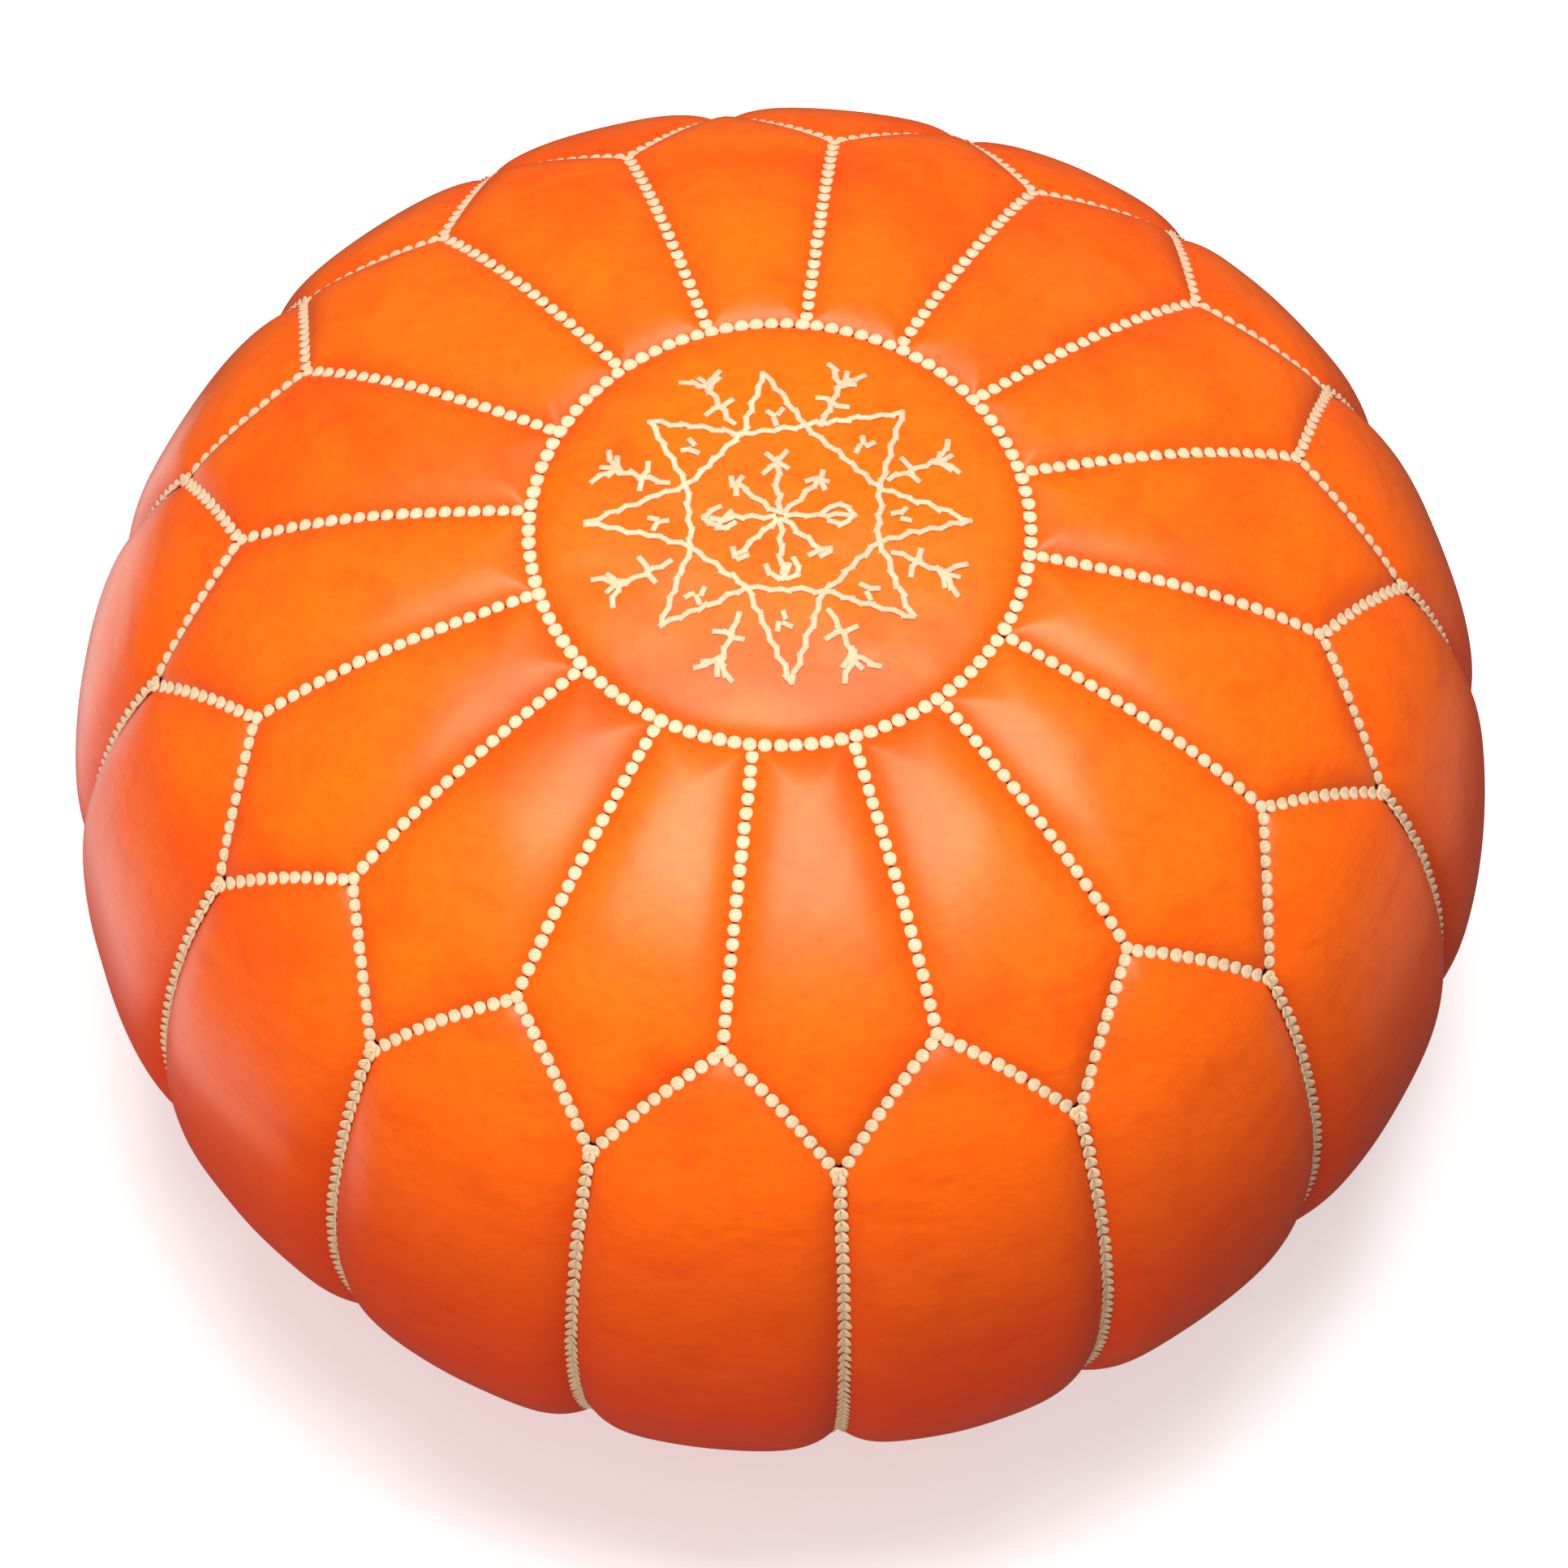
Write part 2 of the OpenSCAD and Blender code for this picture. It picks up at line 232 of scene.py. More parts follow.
def seam_distance(points, loop):
    """Each point's distance to a closed line of points."""
    a = points[loop]
    b = np.roll(a, -1, axis=0)
    run = b - a
    nearest = np.full(len(points), 1e9)
    for start, step in zip(a, run):
        t = np.clip(((points - start) @ step) / max(step @ step, 1e-12), 0, 1)
        nearest = np.minimum(nearest, np.linalg.norm(points - start - t[:, None] * step, axis=1))
    return nearest


def sink(distance):
    """How far below the form the leather lies, at a distance from its seam."""
    steep = STEEP_DROP * np.exp(-distance / STEEP_FADE)
    return steep + (GROOVE - STEEP_DROP) * np.exp(-distance / EASY_FADE)


def side_extra(along):
    """How much deeper the seams down the side lie, where the filling pushes hardest."""
    begun = np.clip((along - TIP_ALONG) / 0.06, 0, 1)
    ended = np.clip((BASE_ALONG - along) / 0.03, 0, 1)
    return SIDE_EXTRA * begun * ended


def from_side_seam(angle, along):
    """Distance round the form to the nearest seam down the side."""
    off = HALF - np.abs((angle + HALF) % (2 * HALF) - HALF)
    return off * np.interp(along, ALONG, RADIUS)


def dent(points, seed):
    """Shallow hollows and swellings, a few centimetres across, about one millimetre high."""
    shift = Vector((seed * 3.17, seed * 1.73, seed * 2.41))
    return np.array([
        0.0011 * noise.noise(Vector(p) * 16 + shift) + 0.0005 * noise.noise(Vector(p) * 38 - shift)
        for p in points
    ])


def shape_panel(name, laid, seed):
    bm, angle, along = laid
    distance = seam_distance(lay(angle, along, GROOVE), edge_loop(bm))
    surface = lay(angle, along)
    depth = sink(distance) - dent(surface, seed) * (1 - np.exp(-distance / DENT_FADE))
    depth += side_extra(along) * np.exp(-from_side_seam(angle, along) / SIDE_EXTRA_FADE)
    return place_leather(name, bm, lay(angle, along, depth), facing(angle, along), distance)


def place_leather(name, bm, placed, normals, distance):
    layer = bm.verts.layers.float.new("near_seam")
    for v, p, d in zip(bm.verts, placed, distance):
        v.co = p
        v[layer] = math.exp(-d / NEAR_SEAM)
    bmesh.ops.recalc_face_normals(bm, faces=bm.faces)
    first = bm.verts[:][len(bm.verts) // 2]
    if first.normal.dot(Vector(normals[len(normals) // 2])) < 0:
        bmesh.ops.reverse_faces(bm, faces=bm.faces)
    return {"name": name, "bm": bm, "normals": normals, "distance": distance,
            "turn_in": np.full(len(placed), TURN_IN)}


# %% Lay all the leather
panels = {"medallion": shape_panel("leather_medallion", lay_medallion(0.0), 50)}
for i in range(1, PANELS + 1):
    petal_middle, side_middle = (2 * i - 1) * HALF, 2 * (i - 1) * HALF
    panels[f"petal_{i:02d}"] = shape_panel(f"leather_petal_{i:02d}", lay_petal(petal_middle), i)
    panels[f"side_panel_{i:02d}"] = shape_panel(f"leather_side_{i:02d}", lay_side(side_middle), 20 + i)
print(len(panels), "panels laid,", sum(len(p["bm"].verts) for p in panels.values()), "vertices")

# %% [markdown]
# ## The base and its zip slot
# The base is a disc in two halves. It rests on a ring and rises in the middle, where a slot
# between the halves shows the zip. Its outline can simply be spun: half a turn for each half,
# and two bisecting cuts mark out the slot, whose faces are then deleted. The slot's edges stay
# level, because the zip's tapes lie right on them.

# %% Lay the base halves
SLOT_X, SLOT_Y, SEAM_Y = 0.095, 0.007, 0.0002


def lay_base(name, side, seed):
    bm = bmesh.new()
    reach = BASE_ALONG + (ALONG[-1] - 0.002 - BASE_ALONG) * np.linspace(0, 1, 56) ** 1.15
    rim = [bm.verts.new((float(np.interp(s, ALONG, RADIUS)), 0, 0)) for s in reach]
    line = [bm.edges.new(pair) for pair in zip(rim, rim[1:])]
    bmesh.ops.spin(bm, geom=rim + line, cent=(0, 0, 0), axis=(0, 0, 1), angle=side * math.pi, steps=84)
    cuts = [((0, side * SEAM_Y, 0), (0, side, 0), True), ((0, side * SLOT_Y, 0), (0, side, 0), False),
            ((SLOT_X, 0, 0), (1, 0, 0), False), ((-SLOT_X, 0, 0), (1, 0, 0), False)]
    for spot, across, clear in cuts:
        bmesh.ops.bisect_plane(bm, geom=bm.verts[:] + bm.edges[:] + bm.faces[:], dist=0.0003,
                               plane_co=spot, plane_no=across, clear_inner=clear)
    slot = [f for f in bm.faces
            if abs(f.calc_center_median().x) < SLOT_X and abs(f.calc_center_median().y) < SLOT_Y]
    bmesh.ops.delete(bm, geom=slot, context="FACES")
    bm.verts.index_update()
    flat = np.array([v.co[:2] for v in bm.verts])
    x, y = np.abs(flat[:, 0]), np.abs(flat[:, 1])
    angle, along = np.arctan2(flat[:, 1], flat[:, 0]), along_under(np.hypot(x, y))
    to_seam = np.hypot(np.maximum(SLOT_X - x, 0), y)
    to_slot = np.hypot(np.maximum(x - SLOT_X, 0), np.maximum(y - SLOT_Y, 0))
    to_ring = along - BASE_ALONG
    depth = np.maximum(sink(to_ring), 0.75 * sink(to_seam) * np.clip((x - SLOT_X) / 0.012, 0, 1))
    swell = dent(lay(angle, along), seed) * (1 - np.exp(-np.minimum(to_ring, to_seam) / DENT_FADE))
    calm = np.clip(to_slot / 0.03, 0, 1) * np.clip((np.interp(along, ALONG, HEIGHT) - 0.0005) / 0.003, 0, 1)
    placed = lay(angle, along, depth - swell * calm)
    nearest = np.minimum(to_ring, np.minimum(to_seam, to_slot))
    made = place_leather(name, bm, placed, facing(angle, along), nearest)
    made["turn_in"][to_slot < 0.02] = 0.0001
    return made


panels["base_half_left"] = lay_base("leather_base_left", 1, 60)
panels["base_half_right"] = lay_base("leather_base_right", -1, 61)
print("base halves:", [len(panels[n]["bm"].faces) for n in ("base_half_left", "base_half_right")], "faces")

# %% [markdown]
# ## Stuffing the cover
# The swell of each panel is already drawn by the cells above. Here Blender's Cloth adds to it:
# pressure from inside moves the leather between its stitched edges. All the panels go into one
# mesh without joining them, every edge is pinned where it is sewn, gravity is off, and the
# pressure pushes outwards for twenty frames. The panels are laid slightly full, by a negative
# shrink. The leather doesn't come to rest: it would go on swelling, so the run is stopped, and
# the cap, which nearly all of the sides and petals reach, decides how far a point moves. The
# swelling they share is then taken off, so the size stays right. What is left is a variation
# of about half a millimetre on the sides and a tenth on the petals, and the medallion ends a
# little lower than it was laid. Close to the stitches the movement fades out, so that the
# leather doesn't swell over them.

# %% Inflate all the panels at once
STUFF_FRAMES, STUFF_CAP, STUFF_LOSS, STUFF_FADE = 20, 0.0045, 0.0026, 0.011
MEDALLION_SHARE, PETAL_SHARE = 0.25, 0.7


def stuff(laid):
    joined = bmesh.new()
    for panel in laid:
        flat = bpy.data.meshes.new("flat")
        panel["bm"].to_mesh(flat)
        joined.from_mesh(flat)
        bpy.data.meshes.remove(flat)
    sewn = [v.index for v in joined.verts if v.is_boundary]
    mesh = as_mesh(joined, "cover_to_stuff", smooth=False)
    cover = bpy.data.objects.new("cover_to_stuff", mesh)
    scene.collection.objects.link(cover)
    cover.vertex_groups.new(name="sewn").add(sewn, 1.0, "REPLACE")
    cloth = cover.modifiers.new("cloth", "CLOTH")
    give = cloth.settings
    give.quality, give.mass = 5, 0.4
    give.tension_stiffness = give.compression_stiffness = 18
    give.shear_stiffness, give.bending_stiffness = 8, 1.2
    give.air_damping = 4
    give.shrink_min = -0.012
    give.use_pressure, give.uniform_pressure_force = True, 4
    give.vertex_group_mass = "sewn"
    give.effector_weights.gravity = 0
    cloth.collision_settings.use_collision = cloth.collision_settings.use_self_collision = False
    cloth.point_cache.frame_start, cloth.point_cache.frame_end = 1, STUFF_FRAMES
    before = np.array([v.co[:] for v in mesh.vertices])
    for moment in range(1, STUFF_FRAMES + 1):
        scene.frame_set(moment)
    swollen = cover.evaluated_get(bpy.context.evaluated_depsgraph_get()).to_mesh()
    moved = np.array([v.co[:] for v in swollen.vertices]) - before
    scene.frame_set(1)
    bpy.data.objects.remove(cover)
    reach = np.linalg.norm(moved, axis=1, keepdims=True)
    print(f"leather moved {1000 * np.median(reach):.1f} mm in the middle of the range, "
          f"{1000 * reach.max():.1f} mm at most")
    return moved * STUFF_CAP * np.tanh(reach / STUFF_CAP) / np.maximum(reach, 1e-9)


sheets = {node: panel for node, panel in panels.items() if not node.startswith("base")}
moved, start = stuff(sheets.values()), 0
for node, panel in sheets.items():
    share = MEDALLION_SHARE if node == "medallion" else PETAL_SHARE if node.startswith("petal") else 1.0
    count = len(panel["bm"].verts)
    held = 1 - np.exp(-((panel["distance"] / STUFF_FADE) ** 2))[:, None]
    steps = (moved[start:start + count] - panel["normals"] * STUFF_LOSS) * held
    steps *= share
    for v, step in zip(panel["bm"].verts, steps):
        v.co += Vector(step)
    start += count

# %% [markdown]
# ## Turning the edges in and giving the leather its thickness
# At a seam each panel's edge is folded down against its neighbour's. The edge is extruded into
# the groove for that fold, a Solidify modifier gives the hide its thickness towards the inside,
# and one level of subdivision rounds the fold. Modelling the thickness by hand would only make
# the same two skins.

# %% Finish a panel as a piece
def add_piece(name, mesh, body, slot_name, *stands_for):
    piece = bpy.data.objects.new(name, mesh)
    scene.collection.objects.link(piece)
    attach(piece, body)
    if stands_for:
        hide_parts(*stands_for)
    return piece


def finish_panel(node, panel):
    bm, normals, depths = panel["bm"], panel["normals"], panel["turn_in"]
    bm.verts.ensure_lookup_table()
    middle = Vector(np.mean([v.co for v in bm.verts], axis=0))
    edge = [v for v in bm.verts if v.is_boundary]
    inward = {}
    for v in edge:
        n = Vector(normals[v.index])
        step = sum((e.other_vert(v).co - v.co for e in v.link_edges if not e.is_boundary), Vector())
        if step.length < 1e-9:
            step = middle - v.co
        step = (step - n * step.dot(n)).normalized()
        inward[v] = (n * depths[v.index], step)
    for v, (drop, step) in inward.items():
        v.co += step * SEAM_GAP
    turned = bmesh.ops.extrude_edge_only(bm, edges=[e for e in bm.edges if e.is_boundary])
    down = {tuple(round(c, 7) for c in v.co): drop for v, (drop, step) in inward.items()}
    for v in (g for g in turned["geom"] if isinstance(g, bmesh.types.BMVert)):
        v.co -= down[tuple(round(c, 7) for c in v.co)]
    piece = add_piece(panel["name"], as_mesh(bm, panel["name"]), "cover", "leather", node)
    hide = piece.modifiers.new("hide", "SOLIDIFY")
    hide.thickness, hide.offset = HIDE_T, -1
    smooth = piece.modifiers.new("smooth", "SUBSURF")
    smooth.levels = smooth.render_levels = 1
    return piece


leather_pieces = [finish_panel(node, panel) for node, panel in panels.items()]
print(len(leather_pieces), "leather pieces")

# %% [markdown]
# ## Thread dots
# Every seam is covered by thick thread in round flat stitches that touch each other. There are
# 1,931, so one is made with a few dozen faces: a small profile is spun into a flat button and
# folded along the seam, where it dips into the groove. Instances would be lighter, but the
# copies differ a little in size and turn, and one mesh per row of seams is easier to export.

# %% One stitch
DOT_R, DOT_H = 0.00268, 0.0008


def thread_dot(fold):
    bm = bmesh.new()
    profile = [(0, 1), (0.55, 0.97), (0.87, 0.78), (1, 0.3), (0.93, -0.4)]
    verts = [bm.verts.new((DOT_R * x, 0, DOT_H * z)) for x, z in profile]
    edges = [bm.edges.new(pair) for pair in zip(verts, verts[1:])]
    bmesh.ops.spin(bm, geom=verts + edges, cent=(0, 0, 0), axis=(0, 0, 1), angle=math.tau, steps=12,
                   use_merge=True)
    bmesh.ops.remove_doubles(bm, verts=bm.verts, dist=1e-6)
    rim = [e for e in bm.edges if e.is_boundary]
    bmesh.ops.edgeloop_fill(bm, edges=rim)
    bmesh.ops.recalc_face_normals(bm, faces=bm.faces)
    fibres = bm.loops.layers.uv.new("thread")
    for face in bm.faces:
        for corner in face.loops:
            corner[fibres].uv = (corner.vert.co.x / DOT_R, corner.vert.co.y / DOT_R)
    bm.verts.layers.float.new("tone")
    # The rim mask marks painted shade: the dot's outer edge and its underside, darkened in the material as a
    # contact shadow.
    painted_shade_mask = bm.verts.layers.float.new("rim")
    for v in bm.verts:
        v[painted_shade_mask] = min(1, max(0, (v.co.xy.length / DOT_R - 0.84) / 0.14)) if v.co.z > 0 else 1
        v.co.z += fold * abs(v.co.y) - 0.05 * v.co.x
    return as_mesh(bm, "thread_dot", smooth=False)


flat_dot, folded_dot = thread_dot(0.3), thread_dot(0.78)
print("one stitch has", len(flat_dot.polygons), "faces")

# %% Standing stitches along a seam
rng = np.random.default_rng(7)
STITCH_DEPTH = 0.0047


def seam_line(angle, along, depth=STITCH_DEPTH):
    """Points and normals along one seam, from its angles and distances along the outline."""
    angle, along = np.broadcast_arrays(np.asarray(angle, float), np.asarray(along, float))
    return lay(angle, along, depth + side_extra(along)), facing(angle, along)


def even_marks(line, count, first=0.5, last=0.5, closed=False):
    """Frames evenly spaced along a line; first and last are the gaps at its ends, in stitches."""
    points, normals = line
    run = np.concatenate([[0], np.cumsum(np.linalg.norm(np.diff(points, axis=0), axis=1))])
    step = run[-1] / (count if closed else count - 1 + first + last)
    marks = []
    for k in range(count):
        at = step * (k + (0 if closed else first)) + rng.normal(0, 0.00012)
        here, ahead, behind, up = (
            np.array([np.interp(spot, run, values[:, c]) for c in range(3)])
            for spot, values in ((at, points), (at + 0.001, points), (at - 0.001, points), (at, normals)))
        marks.append((here, ahead - behind, up))
    return marks


def stand(mark, turn=0.0, size=1.0, lift=0.0, shift=0.0):
    """The matrix that stands a small thing on a mark: x along the seam, y across it, z outwards."""
    here, along, up = (Vector(v) for v in mark)
    up.normalize()
    along = (along - up * along.dot(up)).normalized()
    across = up.cross(along)
    turned = Matrix.Rotation(turn, 3, "Z")
    basis = Matrix((along, across, up)).transposed() @ turned @ Matrix.Diagonal((size, size, size))
    return Matrix.Translation(here + across * shift + up * lift) @ basis.to_4x4()


def sew(name, marks, stitch, *nodes, sway=0.08, drift=0.00008, size=1.0):
    """One mesh of copies of a stitch, each a little different in turn, size, place and tone."""
    bm = bmesh.new()
    tones = np.ones(len(stitch.vertices))
    for mark in marks:
        copy = stitch.copy()
        copy.transform(stand(mark, rng.normal(0, sway), size * rng.normal(1, 0.02), rng.normal(0, 0.00005),
                             rng.normal(0, drift)))
        copy.attributes["tone"].data.foreach_set("value", tones * rng.uniform(0, 1))
        bm.from_mesh(copy)
        bpy.data.meshes.remove(copy)
    return add_piece(name, as_mesh(bm, name), "cover", "thread", *nodes)


# %% Sew every seam
turn = np.linspace(0, math.tau, 361)
ring_marks = even_marks(seam_line(turn, RING_ALONG), 103, closed=True)
radial_marks, zigzag_marks, side_marks, base_seam_marks = [], [], [], []
for i in range(PANELS):
    at = 2 * i * HALF
    radial_marks += even_marks(seam_line(at, np.linspace(RING_ALONG, NOTCH_ALONG, 60)), 21, 0.85, 0.1)
    for side in (-1, 1):
        away = np.linspace(0, HALF, 30)
        zigzag_marks += even_marks(seam_line(at + side * away, zigzag_along(away)), 12, 0.75, 0.3)
    side_marks += even_marks(seam_line(at + HALF, np.linspace(TIP_ALONG, BASE_ALONG, 160)), 56, 0.2, 0.9)
base_marks = even_marks(seam_line(turn, BASE_ALONG), 188, closed=True)
for end in (0.0, math.pi):
    closing = seam_line(end, np.linspace(BASE_ALONG, float(along_under(0.0985)), 60), 0.0034)
    base_seam_marks += even_marks(closing, 12, 0.9, 0.3)
thread_pieces = [
    sew("thread_ring", ring_marks, flat_dot, "ring_stitching", size=1.06),
    sew("thread_radial", radial_marks, flat_dot, "radial_stitching"),
    sew("thread_zigzag", zigzag_marks, flat_dot, "zigzag_stitching"),
    sew("thread_side", side_marks, folded_dot, "side_stitching"),
    sew("thread_base_ring", base_marks, flat_dot, "base_stitching", size=1.03),
    sew("thread_base_seam", base_seam_marks, flat_dot, "base_seam_stitching"),
]
print("stitches:", len(ring_marks), len(radial_marks), len(zigzag_marks), len(side_marks), len(base_marks),
      len(base_seam_marks))

# %% [markdown]
# ## Straight stitches for the embroidery
# The star is drawn freehand with the same thread, in short straight stitches, each a little
# askew from the last. One stitch is a squashed round section extruded in four steps, with ends
# that dip into the leather. Curves with a bevel would come out too smooth.

# %% One straight stitch
STITCH_W, STITCH_H = 0.0024, 0.0013


def straight_stitch(length):
    bm = bmesh.new()
    bmesh.ops.create_circle(bm, cap_ends=True, segments=8, radius=1)
    bmesh.ops.rotate(bm, verts=bm.verts, cent=(0, 0, 0), matrix=Matrix.Rotation(math.pi / 2, 3, "Y"))
    bmesh.ops.translate(bm, verts=bm.verts, vec=(-1, 0, 0))
    end = bm.faces[:]
    for step in (0.14, 0.86, 0.86, 0.14):
        pulled = bmesh.ops.extrude_face_region(bm, geom=end)
        end = [g for g in pulled["geom"] if isinstance(g, bmesh.types.BMFace)]
        bmesh.ops.translate(bm, verts=end[0].verts, vec=(step, 0, 0))
    bmesh.ops.recalc_face_normals(bm, faces=bm.faces)
    strands = bm.loops.layers.uv.new("thread")
    for face in bm.faces:
        for corner in face.loops:
            x, y, z = corner.vert.co
            corner[strands].uv = (y + 0.2 * x, x * length / STITCH_W)
    bm.verts.layers.float.new("tone")
    # The rim mask marks painted shade: the stitch's underside and ends, darkened in the material as a contact
    # shadow.
    painted_shade_mask = bm.verts.layers.float.new("rim")
    for v in bm.verts:
        x, y, z = v.co
        v[painted_shade_mask] = min(1, max(0, 0.9 - 1.6 * z, abs(x) * 8 - 7.3))
        v.co = (x * length / 2, y * STITCH_W / 2, z * STITCH_H / 2 - 0.0002 * x ** 4)
    return as_mesh(bm, "straight_stitch", smooth=False)


long_stitch, short_stitch = straight_stitch(0.0055), straight_stitch(0.0044)
print("one straight stitch has", len(long_stitch.polygons), "faces")

# %% Marks for lines drawn on the crown
STAR_TURN = math.radians(8)
medallion = bpy.data.objects["leather_medallion"]
crown = BVHTree.FromObject(medallion, bpy.context.evaluated_depsgraph_get())


def drawn(lines, turn, spacing=0.0039):
    """Marks for straight stitches along lines given in millimetres, turned about the middle."""
    marks = []
    cos, sin = math.cos(turn + STAR_TURN), math.sin(turn + STAR_TURN)
    for line in lines:
        for a, b in zip(line, line[1:]):
            a, b = np.array(a) / 1000, np.array(b) / 1000
            count = max(1, round(np.linalg.norm(b - a) / spacing))
            for k in range(count):
                x, y = a + (b - a) * (k + 0.5) / count
                skew = math.radians(rng.uniform(9, 19)) * (-1) ** k
                run = (b - a) / np.linalg.norm(b - a)
                run = np.array([run[0] * math.cos(skew) - run[1] * math.sin(skew),
                                run[0] * math.sin(skew) + run[1] * math.cos(skew)])
                x, y = x + rng.normal(0, 0.00025), y + rng.normal(0, 0.00025)
                x, y = x * cos - y * sin, x * sin + y * cos
                run = np.array([run[0] * cos - run[1] * sin, run[0] * sin + run[1] * cos, 0])
                spot, normal, *_ = crown.ray_cast(Vector((x, y, 1)), Vector((0, 0, -1)))
                marks.append((spot + normal * 0.0003, run, normal))
    return marks


def polar(radius, degrees):
    return (radius * math.cos(math.radians(degrees)), radius * math.sin(math.radians(degrees)))


# %% Draw the star, the marks in its points, the spokes and the sprigs
star_marks, point_marks, spoke_marks, sprig_marks = [], [], [], []
SPOKES = [
    [[(2, 0), (25, 0)], [(16, 2), (22, 5), (28, 0), (22, -5), (18, -1)]],
    [[(2, 0), (22, 0)], [(18, 4), (24, -2)], [(20, -4), (25, 3)]],
    [[(2, 0), (26, 0)], [(20, 5), (24, 0), (20, -4)], [(24, 1), (28, 3)], [(26, -1), (28, -4)]],
    [[(1, 0), (21, 0)], [(19, 4), (22, -3)], [(22, 3), (24, -1)]],
    [[(2, 0), (25, 0)], [(17, 3), (23, 4), (28, -1), (22, -5)], [(23, 4), (18, -3)]],
    [[(1, 0), (23, 0)], [(20, 3), (24, 0), (21, -3)]],
    [[(2, 0), (24, 0)], [(18, 5), (26, 6), (27, -2), (21, -6)], [(21, 3), (27, 0)]],
    [[(1, 0), (22, 0)], [(19, -4), (23, 3)], [(22, -3), (24, 2)]],
]
TIPS = [(70, -1.5), (66, -0.4), (65, 3), (65, 0.5), (71, -2), (63, -1), (70, 1.5), (64, 2.5)]
CROSSINGS = [(39, -5), (42, 7), (39, -4), (37, -2), (35, -3), (33, -1), (36, 2), (38, 4)]
for k in range(8):
    turn = k * math.pi / 4
    corners = [polar(r, 45 * i + slip) for i, (r, slip) in enumerate(TIPS)]
    crosses = [polar(r, 45 * i + 22.5 + slip) for i, (r, slip) in enumerate(CROSSINGS)]
    star = [corners[k], crosses[k], crosses[(k + 1) % 8], corners[(k + 2) % 8]]
    star_marks += drawn([star], 0.0)
    jolt = rng.uniform(-1, 1, 4)
    point_marks += drawn([[(40 + jolt[0], 0), (45, 0)], [(44, 0), (48, 3 + jolt[1])],
                          [(45, -1), (48 + jolt[2], -3)]], turn, 0.0040)
    spoke_marks += drawn(SPOKES[k], turn)
    jolt = rng.uniform(-1.2, 1.2, 6)
    sprig = [[(44, jolt[0]), (70, jolt[1])], [(54 + jolt[2], -6), (54 + jolt[3], 6)],
             [(64, 0), (71 + jolt[4], 7)], [(64, 0), (71 + jolt[5], -7)], [(62, 1), (67, -5)]]
    sprig_marks += drawn(sprig, turn + math.pi / 8)
thread_pieces += [
    sew("embroidered_star", star_marks, long_stitch, "star_embroidery", sway=0.03),
    sew("embroidered_points", point_marks, short_stitch, "point_embroidery", sway=0.10),
    sew("embroidered_spokes", spoke_marks, long_stitch, "spoke_embroidery", sway=0.06),
    sew("embroidered_sprigs", sprig_marks, long_stitch, "sprig_embroidery", sway=0.06),
]
print("embroidery stitches:", len(star_marks), len(point_marks), len(spoke_marks), len(sprig_marks))

# %% [markdown]
# ## Stitching round the zip
# The tapes are held to the leather by one line of straight stitches round the slot, which
# shows from below. It has no solid of its own in the CAD model, so it adds no weight there.

# %% Sew round the slot
HEM_X, HEM_Y = 0.099, 0.0115
slot_marks = []
for a, b in (((-HEM_X, HEM_Y), (HEM_X, HEM_Y)), ((-HEM_X, -HEM_Y), (HEM_X, -HEM_Y)),
             ((HEM_X, -HEM_Y), (HEM_X, -0.003)), ((HEM_X, 0.003), (HEM_X, HEM_Y)),
             ((-HEM_X, -HEM_Y), (-HEM_X, -0.003)), ((-HEM_X, 0.003), (-HEM_X, HEM_Y))):
    a, b = np.array(a), np.array(b)
    count = max(2, round(np.linalg.norm(b - a) / 0.005))
    for k in range(count):
        x, y = a + (b - a) * (k + 0.5) / count
        angle, along = math.atan2(y, x), float(along_under(math.hypot(x, y)))
        slot_marks.append((lay(angle, along, 0.0001), np.array([*(b - a), 0]), facing(angle, along)))
thread_pieces.append(sew("thread_zip", slot_marks, short_stitch, sway=0.02, drift=0.00004))
print("stitches round the slot:", len(slot_marks))

# %% [markdown]
# ## The zip's tapes
# Each row of teeth is clamped to the edge of a woven tape: a grid stretched to its size and
# rippled by a few hundredths of a millimetre. Solidify gives the cloth its thickness.

# %% Weave the tapes
TAPE_X, TAPE_INNER, TAPE_OUTER, TAPE_Z, TAPE_T = 0.103, 0.0033, 0.0173, 0.0162, 0.0008


def zip_tape(name, side, node):
    bm = bmesh.new()
    bmesh.ops.create_grid(bm, x_segments=96, y_segments=9, size=1)
    for v in bm.verts:
        across = (v.co.y + 1) / 2
        y = TAPE_INNER + 0.0002 + (TAPE_OUTER - TAPE_INNER - 0.0004) * across
        ripple = 0.00006 * math.sin(v.co.x * 60 + 3 * across) * across
        v.co = (v.co.x * (TAPE_X - 0.0002), side * y, TAPE_Z + 0.0001 + ripple)
    bmesh.ops.recalc_face_normals(bm, faces=bm.faces)
    if bm.faces[:][0].normal.z > 0:
        bmesh.ops.reverse_faces(bm, faces=bm.faces)
    piece = add_piece(name, as_mesh(bm, name), "cover", "zip_tape", node)
    cloth = piece.modifiers.new("cloth", "SOLIDIFY")
    cloth.thickness, cloth.offset = TAPE_T - 0.0002, -1
    return piece


tape_pieces = [zip_tape("zip_tape_cloth_left", 1, "zip_tape_left"),
               zip_tape("zip_tape_cloth_right", -1, "zip_tape_right")]
print(len(tape_pieces), "tapes")

# %% [markdown]
# ## What is inside
# A cotton bag holds the filling. It is never seen while the zip is shut, but the model is whole,
# so it is spun from the same outline a centimetre further in, and creased by noise drawn out
# down the sides. The filling fills the bag with soft lumps.

# %% Spin the bag and the filling


